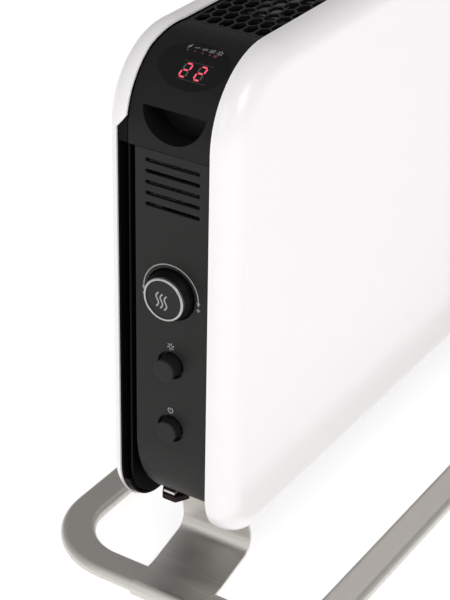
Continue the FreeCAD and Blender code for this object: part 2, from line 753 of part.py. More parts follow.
face_radius = knob_ring_radius - knob_ring_band
face_seat = knob_projection - 2.6
knob_back = -(knob_well_depth - knob_press - 0.6)
body = turned([(knob_back, shaft_radius), (face_seat, shaft_radius), (face_seat, face_radius + 0.5),
               (face_seat, knob_ring_radius), (3.0, knob_skirt_radius - 0.6),
               (0.0, knob_skirt_radius), (knob_back, knob_skirt_radius)], knob_height)
parts["knob_body"] = body
bezel = turned([(face_seat, face_radius), (face_seat, knob_ring_radius),
                (knob_projection, knob_ring_radius), (knob_projection, face_radius)], knob_height)
front_x = end_x - knob_projection
bezel = rounded_edges(bezel, 1.1, lambda e: e.BoundBox.XMax < front_x + 0.001
                      and e.BoundBox.ZLength > 2 * face_radius + 1)
bezel = rounded_edges(bezel, 0.5, lambda e: e.BoundBox.XMax < front_x + 0.001
                      and e.BoundBox.ZLength < 2 * face_radius + 0.01)
parts["knob_ring"] = bezel
disc = rod(face_radius - 0.05, V(end_x - face_seat - 1.7, 0, knob_height), 1.7)
parts["knob_face"] = disc
parts["knob_shaft"] = rod(shaft_radius, V(end_x - face_seat, 0, knob_height),
                          shaft_end - 0.05 - end_x + face_seat)


# ---------------------------------------------------------------- safety and wiring pieces
# tilt switch: pendulum on a pin in a small open frame behind the board
tilt_x, tilt_z = board_x + 40.0, 210.0
case = box(tilt_x - 12, tilt_x + 12, -20, 20, tilt_z - 30, tilt_z + 10)
case = case.cut(box(tilt_x - 9, tilt_x + 9, -17, 17, tilt_z - 27, tilt_z + 20))
pin_radius = 1.5
parts["tilt_switch_case"] = case.cut(rod(pin_radius, V(tilt_x - 20, 0, tilt_z), 40))
parts["tilt_pin"] = rod(pin_radius, V(tilt_x - 12, 0, tilt_z), 24)
pendulum = box(tilt_x - 2, tilt_x + 2, -1.5, 1.5, tilt_z - 14, tilt_z)
pendulum = pendulum.fuse(rod(6, V(tilt_x - 4, 0, tilt_z - 16), 8))
pendulum = pendulum.fuse(rod(3.2, V(tilt_x - 4, 0, tilt_z), 8))
parts["tilt_pendulum"] = pendulum.cut(rod(pin_radius + shaft_gap, V(tilt_x - 9, 0, tilt_z), 18))

# terminal block and room sensor
terminal = box(end_x + 60, end_x + 100, -22, -6, frame_floor + panel_bottom + 14,
               frame_floor + panel_bottom + 28)
for k in range(3):
    terminal = terminal.cut(rod(2.5, V(end_x + 68 + 12 * k, -30, frame_floor + panel_bottom + 21),
                                40, Y_AXIS))
parts["terminal_block"] = terminal
sensor_z = slot_top - 2 * slot_pitch
sensor_half = plate_half - wall_thickness - fit_gap
sensor = box(end_x + 14, end_x + 18, -8, 8, sensor_z - 6, sensor_z + 6)
parts["room_sensor"] = sensor.fuse(rod(2.2, V(end_x + 6, 0, sensor_z), 9)).fuse(
    box(end_x + 15, end_x + 18, -sensor_half, sensor_half, sensor_z - 3, sensor_z + 3))


# ---------------------------------------------------------------- oil core
def column(x, holes):
    """Pressed steel oil column: hollow, with header holes on the sides that are named."""
    def block(inset, radius):
        return box(x - column_thickness / 2 + inset, x + column_thickness / 2 - inset,
                   -column_width / 2 + inset, column_width / 2 - inset,
                   column_low + inset, column_high - inset)

    outer = rounded_edges(block(0, 0), column_corner, lambda e: abs(e.Length - column_thickness) < 0.01)
    outer = rounded_edges(outer, 3.0, lambda e: e.BoundBox.XLength < 0.001)
    inner = block(column_sheet, 0)
    inner = rounded_edges(inner, column_corner - column_sheet,
                          lambda e: abs(e.Length - column_thickness + 2 * column_sheet) < 0.01)
    inner = rounded_edges(inner, 3.0 - column_sheet, lambda e: e.BoundBox.XLength < 0.001)
    shell = outer.cut(inner)
    for side, z in holes:
        start = V(x + side * (column_thickness / 2 - 3), 0, z)
        shell = shell.cut(rod(header_radius - header_wall, start, 6, X_AXIS * side))
    return shell


for i in range(column_count):
    open_sides = []
    if i > 0:
        open_sides += [(-1, upper_header), (-1, lower_header)]
    else:
        open_sides += [(-1, lower_header)]
    if i < column_count - 1:
        open_sides += [(1, upper_header), (1, lower_header)]
    parts["oil_column_%d" % (i + 1)] = column(first_column + i * column_pitch, open_sides)

collars = []
for i in range(column_count - 1):
    start_x = first_column + i * column_pitch + column_thickness / 2
    for z in (upper_header, lower_header):
        collars.append(ring(header_radius, header_radius - header_wall, V(start_x, 0, z),
                            column_pitch - column_thickness))
parts["header_tubes"] = Part.makeCompound(collars)


def core_bracket():
    """Galvanised bracket that hangs the core between the frames."""
    low = panel_bottom + frame_floor + fit_gap
    high = panel_top - frame_floor - fit_gap
    half = bracket_width / 2
    plate = box(bracket_near, bracket_near + frame_sheet, -half, half, low, high)
    for z in (low, high - frame_sheet):
        plate = plate.fuse(box(bracket_near - bracket_flange, bracket_near + frame_sheet,
                               -half, half, z, z + frame_sheet))
    blower_gap = impeller_radius + impeller_gap + 6
    plate = plate.cut(rod(blower_gap, V(bracket_near - 1, 0, blower_axis_height), 10))
    for y in (-1, 1):
        for z in (column_low + 60, column_high - 60):
            plate = plate.cut(rod(9, V(bracket_near - 1, y * 26, z), 4))
    return plate.removeSplitter()


near_bracket = core_bracket()
near_bracket = near_bracket.cut(rod(header_radius - header_wall,
                                    V(bracket_near - 1, 0, lower_header), 4))
parts["control_core_bracket"] = near_bracket
far_bracket = core_bracket().mirror(V((bracket_near + frame_sheet + bracket_far) / 2, 0, 0), X_AXIS)
parts["far_core_bracket"] = far_bracket

# immersion element: flange, two rods and the bend that joins them
element_start = bracket_near - fit_gap
flange = rod(element_flange_radius, V(element_start - element_flange_thickness, 0, lower_header),
             element_flange_thickness)
element_end = last_column - element_rod_spacing
element = flange
for side in (-1, 1):
    y = side * element_rod_spacing / 2
    pin_start = element_start - element_flange_thickness - 12
    element = element.fuse(rod(element_rod_radius, V(pin_start, y, lower_header),
                               element_end - pin_start))
turn_face = Part.Face(Part.Wire([Part.Circle(
    V(element_end, element_rod_spacing / 2, lower_header), X_AXIS, element_rod_radius).toShape()]))
u_bend = turn_face.revolve(V(element_end, 0, lower_header), Z_AXIS * -1, 180)
parts["heating_element"] = element.fuse(u_bend)

# filler plug in the top of the first column
plug_place = V(first_column, 0, column_high)
plug = rod(5, plug_place, 3, Z_AXIS)
hexagon = [V(first_column + 7 * math.cos(math.radians(60 * k)), 7 * math.sin(math.radians(60 * k)),
             column_high + 3) for k in range(6)]
parts["filler_plug"] = plug.fuse(polygon_prism(hexagon, V(0, 0, 5)))

# thermal cut-out clipped to the near bracket
cutout_z = upper_header - 30
cutout = rod(9, V(bracket_near - fit_gap, 0, cutout_z), 8, X_AXIS * -1)
parts["thermal_cutout"] = cutout.fuse(box(bracket_near - 14, bracket_near - 7, -5, 5,
                                          cutout_z - 2, cutout_z + 2))


# ---------------------------------------------------------------- blower
blower_start = core_centre - blower_length / 2
blower_end = blower_start + blower_length
wheel_start, wheel_end = blower_start + 6, blower_end - 6
scroll_radius = impeller_radius + impeller_gap
housing_width = 2 * scroll_radius + 12
housing_low = blower_axis_height - scroll_radius - 2
plates = []
for x in (blower_start, blower_end - housing_sheet):
    plates.append(box(x, x + housing_sheet, -housing_width / 2, housing_width / 2,
                      housing_low, blower_axis_height + scroll_radius))
scroll = ring(scroll_radius + housing_sheet, scroll_radius,
              V(blower_start, 0, blower_axis_height), blower_length)
scroll = scroll.cut(box(-big, big, -scroll_radius - 10, scroll_radius * 0.45, blower_axis_height,
                        blower_axis_height + 60))
scroll = scroll.cut(box(-big, big, -scroll_radius * 0.4, scroll_radius + 10,
                        blower_axis_height - 60, blower_axis_height - scroll_radius * 0.5))
housing = scroll.fuse(plates[0]).fuse(plates[1])
bush_radius = 6.0
for x in (blower_start, blower_end - housing_sheet):
    housing = housing.cut(rod(bush_radius, V(x - 1, 0, blower_axis_height), housing_sheet + 2))
parts["blower_housing"] = housing.removeSplitter()

bush_length = 8.0
bushes = []
for x in (blower_start - bush_length / 2 + housing_sheet / 2,
          blower_end - bush_length / 2 - housing_sheet / 2):
    bushes.append(ring(bush_radius, blower_shaft_radius + shaft_gap, V(x, 0, blower_axis_height),
                       bush_length))
parts["blower_bushes"] = Part.makeCompound(bushes)
motor_face = blower_start - bush_length / 2 - 3
motor = rod(motor_radius, V(motor_face - motor_length, 0, blower_axis_height), motor_length)
motor = rounded_edges(motor, 3.0, lambda e: e.BoundBox.XLength < 0.001)
motor = motor.cut(rod(blower_shaft_radius + shaft_gap,
                      V(motor_face - motor_length + 6, 0, blower_axis_height), motor_length))
for y in (-1, 1):
    leg = rod(2.0, V(motor_face - 1, y * (motor_radius - 8), blower_axis_height),
              blower_start - motor_face + 1)
    motor = motor.fuse(leg)
parts["blower_motor"] = motor
shaft_start = motor_face - motor_length + 7
parts["blower_shaft"] = rod(blower_shaft_radius, V(shaft_start, 0, blower_axis_height),
                            blower_end + 3 - shaft_start)


def impeller():
    """Cross-flow wheel: end and middle discs joined by a ring of blades."""
    axis_point = V(wheel_start, 0, blower_axis_height)
    blade_radius = impeller_radius - blade_depth / 2 - 0.5
    wheel = None
    for x in (wheel_start, core_centre - 1, wheel_end - 2):
        disc = rod(impeller_radius, V(x, 0, blower_axis_height), 2)
        wheel = disc if wheel is None else wheel.fuse(disc)
    blades = []
    for k in range(blade_count):
        blade = box(wheel_start + 1, wheel_end - 1, -blade_thickness / 2, blade_thickness / 2,
                    -blade_depth / 2, blade_depth / 2)
        blade.rotate(V(0, 0, 0), X_AXIS, 25)
        blade.translate(V(0, 0, blower_axis_height + blade_radius))
        blade.rotate(axis_point, X_AXIS, 360.0 * k / blade_count)
        blades.append(blade)
    wheel = wheel.fuse(blades)
    return wheel.cut(rod(blower_shaft_radius, V(wheel_start - 1, 0, blower_axis_height),
                         wheel_end - wheel_start + 2)).removeSplitter()


parts["blower_impeller"] = impeller()


# ---------------------------------------------------------------- foot frame
def tube_section(width, height):
    """Flat-oval section in the plane x = 0, centred on the tube's axis."""
    r, half = height / 2, width / 2 - height / 2
    edges = [Part.LineSegment(V(0, -half, r), V(0, half, r)),
             Part.Arc(V(0, half, r), V(0, half + r, 0), V(0, half, -r)),
             Part.LineSegment(V(0, half, -r), V(0, -half, -r)),
             Part.Arc(V(0, -half, -r), V(0, -half - r, 0), V(0, -half, r))]
    return Part.Face(Part.Wire([e.toShape() for e in edges]))


def half_loop(width, height):
    """One long side, its two corners and half of each short side, at +Y."""
    straight = -foot_end_x - foot_corner_radius
    face = tube_section(width, height)
    face.translate(V(-straight, foot_half_width, tube_middle))
    loop = face.extrude(V(2 * straight, 0, 0))
    for side in (-1, 1):
        section = tube_section(width, height)
        section.translate(V(side * straight, foot_half_width, tube_middle))
        hub = V(side * straight, foot_half_width - foot_corner_radius, tube_middle)
        loop = loop.fuse(section.revolve(hub, Z_AXIS * -side, 90))
        end_section = tube_section(width, height)
        end_section.rotate(V(0, 0, 0), Z_AXIS, 90)
        end_section.translate(V(side * -foot_end_x, 0, tube_middle))
        loop = loop.fuse(end_section.extrude(V(0, foot_half_width - foot_corner_radius, 0)))
    return loop.removeSplitter()


foot_half = half_loop(tube_width, tube_height).cut(
    half_loop(tube_width - 2 * tube_wall, tube_height - 2 * tube_wall))
parts["foot_tube_rear"] = foot_half
parts["foot_tube_front"] = foot_half.mirror(V(0, 0, 0), Y_AXIS)

joiner_gap = 2 * (tube_wall + fit_gap)
joiner = tube_section(tube_width - joiner_gap, tube_height - joiner_gap)
joiner.rotate(V(0, 0, 0), Z_AXIS, 90)
joiner.translate(V(foot_end_x, -joiner_length / 2, tube_middle))
joiner = joiner.extrude(V(0, joiner_length, 0))
parts["tube_joiners"] = Part.makeCompound([joiner, far_copy(joiner)])

pads = []
for side_x in (-1, 1):
    for side_y in (-1, 1):
        for share in (0.35, 1.0):
            x = side_x * share * (-foot_end_x - foot_corner_radius)
            pads.append(rod(pad_radius, V(x, side_y * foot_half_width, 0), pad_thickness, Z_AXIS))
parts["foot_pads"] = Part.makeCompound(pads)


def foot_strap():
    """C-shaped strap: sleeve round the short side, ramp, lower bend, upright and upper flange.

    The path runs on the side that faces the tube's sleeve from outside and the C from inside.
    """
    flat = tube_width - tube_height
    sleeve_radius = tube_height / 2 + fit_gap + strap_sheet
    flange_low = strip_bottom - fit_gap - strap_sheet
    rise, upright = math.radians(strap_rise), math.radians(90 + strap_lean)
    ramp_x = strap_rise_radius * math.sin(rise)
    ramp_z = strap_rise_radius * (1 - math.cos(rise))
    lower_x = strap_lower_radius * (1 - math.sin(rise))
    lower_z = strap_lower_radius * (math.cos(rise) - math.cos(upright))
    upper_z = strap_upper_radius * (math.cos(upright) + 1)
    start_x = foot_end_offset - flat / 2
    ramp = (strap_reach - lower_x - ramp_x - strap_level - start_x) / math.cos(rise)
    climb = (flange_low - (tube_middle + sleeve_radius) - ramp_z - ramp * math.sin(rise)
             - lower_z - upper_z) / math.sin(upright)
    back_x = (strap_reach - strap_lower_radius * (1 - math.sin(upright))
              + climb * math.cos(upright) - strap_upper_radius * math.sin(upright))
    steps = [flat, (sleeve_radius, -180), strap_level, (strap_rise_radius, strap_rise), ramp,
             (strap_lower_radius, 90 + strap_lean - strap_rise), climb,
             (strap_upper_radius, 90 - strap_lean), back_x - tab_tip]
    strap = bend(foot_end_x + flat / 2, tube_middle - sleeve_radius, 180, steps, -strap_sheet,
                 -strap_front, strap_rear)
    # narrower where it passes between the panels
    waist_low, waist_high = panel_bottom - waist_start, panel_bottom - waist_end
    side = [V(0, -strap_front - 1, waist_low), V(0, -strap_front, waist_low),
            V(0, -strap_waist, waist_high), V(0, -strap_waist, panel_top),
            V(0, -strap_front - 1, panel_top)]
    waist = polygon_prism(side, V(big, 0, 0))
    waist.translate(V(end_x - 20, 0, 0))
    strap = strap.cut(waist)
    # the flange is cut back between and beside its two tabs
    edges = [-strap_front - 1]
    for middle in (-thumb_spacing / 2, thumb_spacing / 2):
        edges += [middle - tab_width / 2, middle + tab_width / 2]
    edges.append(strap_rear + 1)
    for y0, y1 in zip(edges[::2], edges[1::2]):
        strap = strap.cut(box(end_x, end_x + strap_tip, y0, y1, flange_low - 1, panel_top))
    for middle in (-thumb_spacing / 2, thumb_spacing / 2):
        hole = rod(stud_radius + 0.3, V(end_x + thumb_offset, middle, flange_low - 3), 10, Z_AXIS)
        strap = strap.cut(hole)
    return strap


strap = foot_strap()
parts["control_foot_strap"] = strap
parts["far_foot_strap"] = far_copy(strap)


def thumb_screw(x, y):
    """Hexagonal thumb knob with a collar, on a stud that clamps the strap to a boss."""
    top = strip_bottom - fit_gap - strap_sheet - fit_gap
    low = top - thumb_collar_height - thumb_height
    corners = [V(x + thumb_radius * math.sin(math.radians(60 * k)),
                 y + thumb_radius * math.cos(math.radians(60 * k)), low) for k in range(6)]
    knob = polygon_prism(corners, V(0, 0, thumb_height))
    knob = rounded_edges(knob, thumb_round, lambda e: e.BoundBox.ZLength > thumb_height - 0.01)
    knob = rounded_edges(knob, 0.8, lambda e: e.BoundBox.ZLength < 0.001)
    knob = knob.fuse(rod(thumb_collar_radius, V(x, y, low), top - low, Z_AXIS))
    return knob.fuse(rod(stud_radius, V(x, y, top - 1), 14, Z_AXIS))


thumbs = [thumb_screw(sx * (end_x + thumb_offset), sy * thumb_spacing / 2)
          for sx in (-1, 1) for sy in (-1, 1)]
parts["thumb_screws"] = Part.makeCompound(thumbs)

# ---------------------------------------------------------------- output
os.makedirs("parts", exist_ok=True)
for name, shape in parts.items():
    if not shape.isValid():
        raise RuntimeError("invalid solid: " + name)
    shape.exportStep("parts/%s.step" % name)
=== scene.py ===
# %% [markdown]
# # Oil filled room heater
# The heater is two white steel panels round a black strip, standing on a tubular foot frame.
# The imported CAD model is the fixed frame: it gives every solid its place, so this lesson only
# adds finishes, the printed marks and the lit digits.

# %% Load the frame
import math
import bpy
import numpy as np
from mathutils import Matrix, Vector


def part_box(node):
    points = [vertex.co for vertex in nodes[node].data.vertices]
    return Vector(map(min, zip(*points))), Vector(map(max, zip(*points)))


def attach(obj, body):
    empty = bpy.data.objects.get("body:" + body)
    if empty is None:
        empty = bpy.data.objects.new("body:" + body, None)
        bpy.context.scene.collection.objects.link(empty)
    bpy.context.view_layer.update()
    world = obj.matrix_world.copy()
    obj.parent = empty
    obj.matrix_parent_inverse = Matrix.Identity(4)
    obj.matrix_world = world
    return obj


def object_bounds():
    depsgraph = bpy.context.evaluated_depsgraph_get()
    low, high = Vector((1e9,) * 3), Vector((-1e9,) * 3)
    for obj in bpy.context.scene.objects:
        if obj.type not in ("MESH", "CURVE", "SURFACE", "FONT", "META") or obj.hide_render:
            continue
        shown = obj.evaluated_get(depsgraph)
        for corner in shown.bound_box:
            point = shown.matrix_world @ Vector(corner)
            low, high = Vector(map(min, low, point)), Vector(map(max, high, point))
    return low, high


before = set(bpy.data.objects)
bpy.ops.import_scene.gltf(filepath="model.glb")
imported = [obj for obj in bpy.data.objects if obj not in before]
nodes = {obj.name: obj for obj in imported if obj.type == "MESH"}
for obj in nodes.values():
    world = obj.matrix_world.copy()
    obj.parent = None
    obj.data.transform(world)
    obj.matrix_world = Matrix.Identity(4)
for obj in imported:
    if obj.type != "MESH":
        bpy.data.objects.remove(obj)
cad_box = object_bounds()
print("nodes:", len(nodes), "box:", [round(v, 4) for corner in cad_box for v in corner])

# %% [markdown]
# ## Places
# Everything printed on the heater is laid out from the solids themselves. The controls strip
# has a flat lower plate and a round upper corner, so two small functions turn a drawing's
# across and up into a point on either surface. Across runs to the viewer's right, which is -Y.

# %% Places on the strip
MM = 0.001
END_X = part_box("control_end_plate")[0][0]
CORNER_RADIUS = 62.5 * MM
CORNER_X = END_X + CORNER_RADIUS
CORNER_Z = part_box("control_top_moulding")[1][2] - CORNER_RADIUS
window_low, window_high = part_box("display_window")
window_middle = (Vector(window_low) + Vector(window_high)) / 2
WINDOW_ANGLE = math.atan2(window_middle[2] - CORNER_Z, CORNER_X - window_middle[0])
knob_low, knob_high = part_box("knob_ring")
KNOB_Z = (knob_low[2] + knob_high[2]) / 2
FACE_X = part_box("knob_face")[0][0]


def on_plane(x):
    """Across and up become -Y and Z on the upright plane at x; height is measured along -X."""
    def place(across, up, height):
        return np.stack(np.broadcast_arrays(x - height, -across, up), axis=-1)
    return place


def on_corner(across, up, height):
    """Up is an arc length along the round corner, counted from the window's middle: the angle is
    that length over the radius, and the point is the corner's axis plus radius times outward."""
    angle = WINDOW_ANGLE + up / CORNER_RADIUS
    reach = CORNER_RADIUS + height
    return np.stack([CORNER_X - reach * np.cos(angle), -across,
                     CORNER_Z + reach * np.sin(angle)], axis=-1)


on_plate = on_plane(END_X)
on_knob = on_plane(FACE_X)
print("window at", round(math.degrees(WINDOW_ANGLE), 1), "degrees, knob at", round(KNOB_Z, 4))

# %% [markdown]
# ## Strokes
# Printed symbols are strokes of ink. Text objects or images would need fonts or files, so each
# stroke is a thin closed band: a path, a width along it, and a surface to lie on. Four corners
# follow the path (left and right, on the surface and on top of the ink), and two caps close it.

# %% Meshes from arrays
def mesh_piece(name, vertices, faces, material):
    """Object at the origin from an array of points and a list of faces."""
    mesh = bpy.data.meshes.new(name)
    mesh.from_pydata(vertices.tolist(), [], faces)
    mesh.materials.append(material)
    mesh.update()
    piece = bpy.data.objects.new(name, mesh)
    bpy.context.collection.objects.link(piece)
    return piece


def stroke(path, width, place, low, high):
    """Band along a path: each point moves sideways by half the width along the path's normal,
    which is its tangent turned a quarter turn. Returns the points and the faces."""
    path = np.asarray(path, float)
    width = np.broadcast_to(np.asarray(width, float), len(path))
    tangent = np.gradient(path, axis=0)
    tangent /= np.linalg.norm(tangent, axis=1, keepdims=True)
    normal = np.stack([-tangent[:, 1], tangent[:, 0]], axis=1)
    left = path + normal * width[:, None] / 2
    right = path - normal * width[:, None] / 2
    rows = [place(right[:, 0], right[:, 1], low), place(right[:, 0], right[:, 1], high),
            place(left[:, 0], left[:, 1], high), place(left[:, 0], left[:, 1], low)]
    points = np.stack(rows, axis=1).reshape(-1, 3)
    count = len(path)
    faces = [[4 * i + k, 4 * i + (k + 1) % 4, 4 * i + 4 + (k + 1) % 4, 4 * i + 4 + k]
             for i in range(count - 1) for k in range(4)]
    end = 4 * (count - 1)
    faces += [[3, 2, 1, 0], [end, end + 1, end + 2, end + 3]]
    return points, faces


def printed(name, strokes, place, material, body, low=-0.02 * MM, high=0.06 * MM):
    """One piece from several strokes: (path, width) pairs in metres on a surface."""
    points, faces, start = [], [], 0
    for path, width in strokes:
        p, f = stroke(path, width, place, low, high)
        points.append(p)
        faces += [[start + i for i in face] for face in f]
        start += len(p)
    piece = mesh_piece(name, np.concatenate(points), faces, material)
    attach(piece, body)


def round_ends(path, width):
    """Width that narrows to a point over the last half width at both ends, as a half circle."""
    steps = np.linalg.norm(np.diff(path, axis=0), axis=1)
    run = np.concatenate([[0], np.cumsum(steps)])
    near = np.minimum(run, run[-1] - run)
    inside = np.clip(1 - near / (width / 2), 0, 1)
    return width * np.sqrt(np.clip(1 - inside ** 2, 0.02, 1))


def line(a, b, count=24):
    """Straight path between two points."""
    t = np.linspace(0, 1, count)[:, None]
    return np.asarray(a) * (1 - t) + np.asarray(b) * t


# %% [markdown]
# ## Finishes
# Every finish is a Principled shader whose even numbers are set on its own sockets, plus one or
# two noise patterns in Object coordinates for what a hand would feel: the slight orange peel
# of enamel, the spark-eroded grain of a moulding, the brush lines of aluminium.

# %% Material helpers
def finish(name, colour, roughness, metallic=0.0, coat=0.0, coat_roughness=0.03, specular=0.5):
    """Principled material with its even numbers on the shader's sockets."""
    material = bpy.data.materials.new(name)
    material.use_nodes = True
    shader = material.node_tree.nodes["Principled BSDF"]
    shader.inputs["Base Color"].default_value = (*colour, 1)
    shader.inputs["Roughness"].default_value = roughness
    shader.inputs["Metallic"].default_value = metallic
    shader.inputs["Coat Weight"].default_value = coat
    shader.inputs["Coat Roughness"].default_value = coat_roughness
    shader.inputs["Specular IOR Level"].default_value = specular
    return material


def pattern(material, scale, detail=3.0):
    """Noise stretched by a scale along each axis. Returns the noise node."""
    tree = material.node_tree
    source = tree.nodes.new("ShaderNodeTexCoord")
    mapping = tree.nodes.new("ShaderNodeMapping")
    mapping.inputs["Scale"].default_value = scale
    noise = tree.nodes.new("ShaderNodeTexNoise")
    noise.inputs["Scale"].default_value = 1.0
    noise.inputs["Detail"].default_value = detail
    tree.links.new(source.outputs["Object"], mapping.inputs["Vector"])
    tree.links.new(mapping.outputs["Vector"], noise.inputs["Vector"])
    return noise


def raised(material, noise, strength, distance):
    """The pattern as relief."""
    tree = material.node_tree
    bump = tree.nodes.new("ShaderNodeBump")
    bump.inputs["Strength"].default_value = strength
    bump.inputs["Distance"].default_value = distance
    tree.links.new(noise.outputs["Fac"], bump.inputs["Height"])
    tree.links.new(bump.outputs["Normal"], tree.nodes["Principled BSDF"].inputs["Normal"])


def rough_between(material, noise, low, high):
    """The pattern as roughness between two values."""
    tree = material.node_tree
    spread = tree.nodes.new("ShaderNodeMapRange")
    spread.inputs["From Min"].default_value = 0.3
    spread.inputs["From Max"].default_value = 0.7
    spread.inputs["To Min"].default_value = low
    spread.inputs["To Max"].default_value = high
    tree.links.new(noise.outputs["Fac"], spread.inputs["Value"])
    tree.links.new(spread.outputs["Result"], tree.nodes["Principled BSDF"].inputs["Roughness"])


def coloured_between(material, noise, first, second):
    """The pattern as a blend of two colours."""
    tree = material.node_tree
    ramp = tree.nodes.new("ShaderNodeValToRGB")
    ramp.color_ramp.elements[0].position = 0.35
    ramp.color_ramp.elements[1].position = 0.65
    ramp.color_ramp.elements[0].color = (*first, 1)
    ramp.color_ramp.elements[1].color = (*second, 1)
    tree.links.new(noise.outputs["Fac"], ramp.inputs["Fac"])
    tree.links.new(ramp.outputs["Color"], tree.nodes["Principled BSDF"].inputs["Base Color"])


def dress(material, *names):
    """Gives CAD nodes a finish."""
    for name in names:
        for holder in nodes[name].material_slots:
            holder.material = material


def even(scale):
    """The same scale along all three axes."""
    return (scale, scale, scale)


# %% [markdown]
# ### White enamel
# The panels are stove-enamelled: a deep gloss with a very slight orange peel. A clear coat over
# a smooth white gives the sharp highlight, and a 4 mm noise just bends it.

# %% White enamel
white = finish("white enamel", (0.87, 0.845, 0.85), 0.3, coat=0.4, coat_roughness=0.08)
raised(white, pattern(white, even(240)), 0.05, 0.0002)
dress(white, "front_panel", "rear_panel")

# %% [markdown]
# ### Black mouldings and plates
# The lower plate is a warm charcoal with a fine eroded grain; the upper moulding is darker and
# smoother. Both are matt enough to show soft light as a gradient.

# %% Black mouldings and plates
charcoal = finish("charcoal plate", (0.0112, 0.0112, 0.0103), 0.52, specular=0.22)
raised(charcoal, pattern(charcoal, even(2600), 4), 0.18, 0.0001)
rough_between(charcoal, pattern(charcoal, even(900)), 0.48, 0.6)
dress(charcoal, "control_end_plate", "far_end_plate")
black = finish("satin black moulding", (0.0072, 0.0072, 0.0070), 0.42, specular=0.16)
raised(black, pattern(black, even(3200), 4), 0.1, 0.0001)
rough_between(black, pattern(black, even(700)), 0.36, 0.46)
dress(black, "control_top_moulding", "far_top_moulding", "cord_gland", "outlet_grille",
      "tube_joiners")
# The knob body is black plastic made darker than its face: painted shade for its unlit skirt and the
# soft shadow round it.
knob_black_and_painted_shade = finish("knob black and painted shade", (0.003, 0.003, 0.0032), 0.38, specular=0.12)
raised(knob_black_and_painted_shade, pattern(knob_black_and_painted_shade, even(3000), 4), 0.08, 0.0001)
dress(knob_black_and_painted_shade, "knob_body")
button_black = finish("button black", (0.012, 0.012, 0.0122), 0.45, specular=0.2)
raised(button_black, pattern(button_black, even(3000), 4), 0.08, 0.0001)
dress(button_black, "fan_button", "power_button")
face_black = finish("knob face black", (0.0125, 0.0125, 0.0125), 0.45, specular=0.2)
raised(face_black, pattern(face_black, even(3500), 4), 0.06, 0.0001)
dress(face_black, "knob_face")
coated = finish("black powder coat", (0.0025, 0.0025, 0.0026), 0.5, specular=0.08)
raised(coated, pattern(coated, even(1500), 4), 0.2, 0.0001)
dress(coated, "front_frame", "rear_frame", "underside_cover")

# %% [markdown]
# ### Brushed aluminium
# The strap is brushed across its width, so the noise is drawn out along Y and tight the other
# way. The lines raise the surface and vary its gloss and shade. The tube's grain is too fine to
# show a direction, so its noise is even.

# %% Brushed aluminium
def brushed(name, scale, colour, strength, shade):
    """Metal with brush lines along the axis whose scale is small; shade is how far they differ."""
    metal = finish(name, colour, 0.42, metallic=1.0)
    coloured_between(metal, pattern(metal, tuple(v * 0.5 for v in scale), 3),
                     tuple(v * (1 - shade) for v in colour), tuple(v * (1 + shade) for v in colour))
    raised(metal, pattern(metal, scale, 5), strength, 0.0001)
    rough_between(metal, pattern(metal, tuple(v * 0.6 for v in scale), 2), 0.36, 0.48)
    return metal


strap_metal = brushed("strap brushed across", (2400, 30, 2400), (0.63, 0.61, 0.58), 0.3, 0.07)
dress(strap_metal, "control_foot_strap", "far_foot_strap")
tube_metal = brushed("tube brushed", (700, 700, 700), (0.61, 0.59, 0.56), 0.05, 0.01)
dress(tube_metal, "foot_tube_front", "foot_tube_rear")
silver = finish("satin silver ring", (0.42, 0.41, 0.4), 0.34, metallic=1.0)
raised(silver, pattern(silver, even(2500), 3), 0.05, 0.0001)
dress(silver, "knob_ring")

# %% [markdown]
# ### Thumb knobs and pads
# The thumb knobs are dark brown phenolic, mottled and nearly matt. The pads are soft rubber.

# %% Thumb knobs and pads
phenolic = finish("dark brown phenolic", (0.02, 0.012, 0.01), 0.5, specular=0.12)
coloured_between(phenolic, pattern(phenolic, even(420), 5), (0.010, 0.005, 0.005),
                 (0.03, 0.016, 0.014))
raised(phenolic, pattern(phenolic, even(1200), 4), 0.15, 0.0002)
dress(phenolic, "thumb_screws")
rubber = finish("pad rubber", (0.03, 0.03, 0.03), 0.8)
raised(rubber, pattern(rubber, even(1800), 4), 0.3, 0.0001)
dress(rubber, "foot_pads")

# %% [markdown]
# ### What shows through the openings
# The honeycomb and the slots let the eye in, so the inside has finishes as well: galvanised
# sheet with its blotchy spangle, green boards, and near-black paint as painted shade on the
# oil columns, brackets, switches and motor, for the dark inside.

# %% Inside finishes
zinc = finish("galvanised sheet", (0.5, 0.51, 0.52), 0.4, metallic=1.0)
coloured_between(zinc, pattern(zinc, even(130), 2), (0.38, 0.39, 0.4), (0.6, 0.61, 0.62))
rough_between(zinc, pattern(zinc, even(130), 2), 0.3, 0.5)
dress(zinc, "blower_housing", "rear_panel_screws")
# The oil columns and brackets take a stoved paint darkened to near black: painted shade for the dark
# inside seen through the honeycomb.
core_paint_and_painted_shade = finish("dark stoved paint and painted shade", (0.02, 0.02, 0.021), 0.45, specular=0.15)
raised(core_paint_and_painted_shade, pattern(core_paint_and_painted_shade, even(300), 4), 0.1, 0.0002)
dress(core_paint_and_painted_shade, "header_tubes", "control_core_bracket", "far_core_bracket",
      *["oil_column_%d" % (i + 1) for i in range(8)])
bright_metal = finish("ground steel", (0.6, 0.6, 0.6), 0.25, metallic=1.0)
raised(bright_metal, pattern(bright_metal, (30, 3000, 3000), 2), 0.1, 0.0001)
dress(bright_metal, "knob_shaft", "tilt_pin", "blower_shaft", "heating_element",
      "thermal_cutout", "blower_impeller")
brass = finish("turned brass", (0.68, 0.48, 0.2), 0.3, metallic=1.0)
raised(brass, pattern(brass, (60, 2500, 2500), 2), 0.1, 0.0001)
dress(brass, "tilt_pendulum", "filler_plug", "blower_bushes")
board_green = finish("circuit board", (0.02, 0.12, 0.05), 0.4, coat=0.3)
coloured_between(board_green, pattern(board_green, even(500), 1), (0.015, 0.09, 0.04),
                 (0.03, 0.16, 0.07))
dress(board_green, "control_board", "display_board")
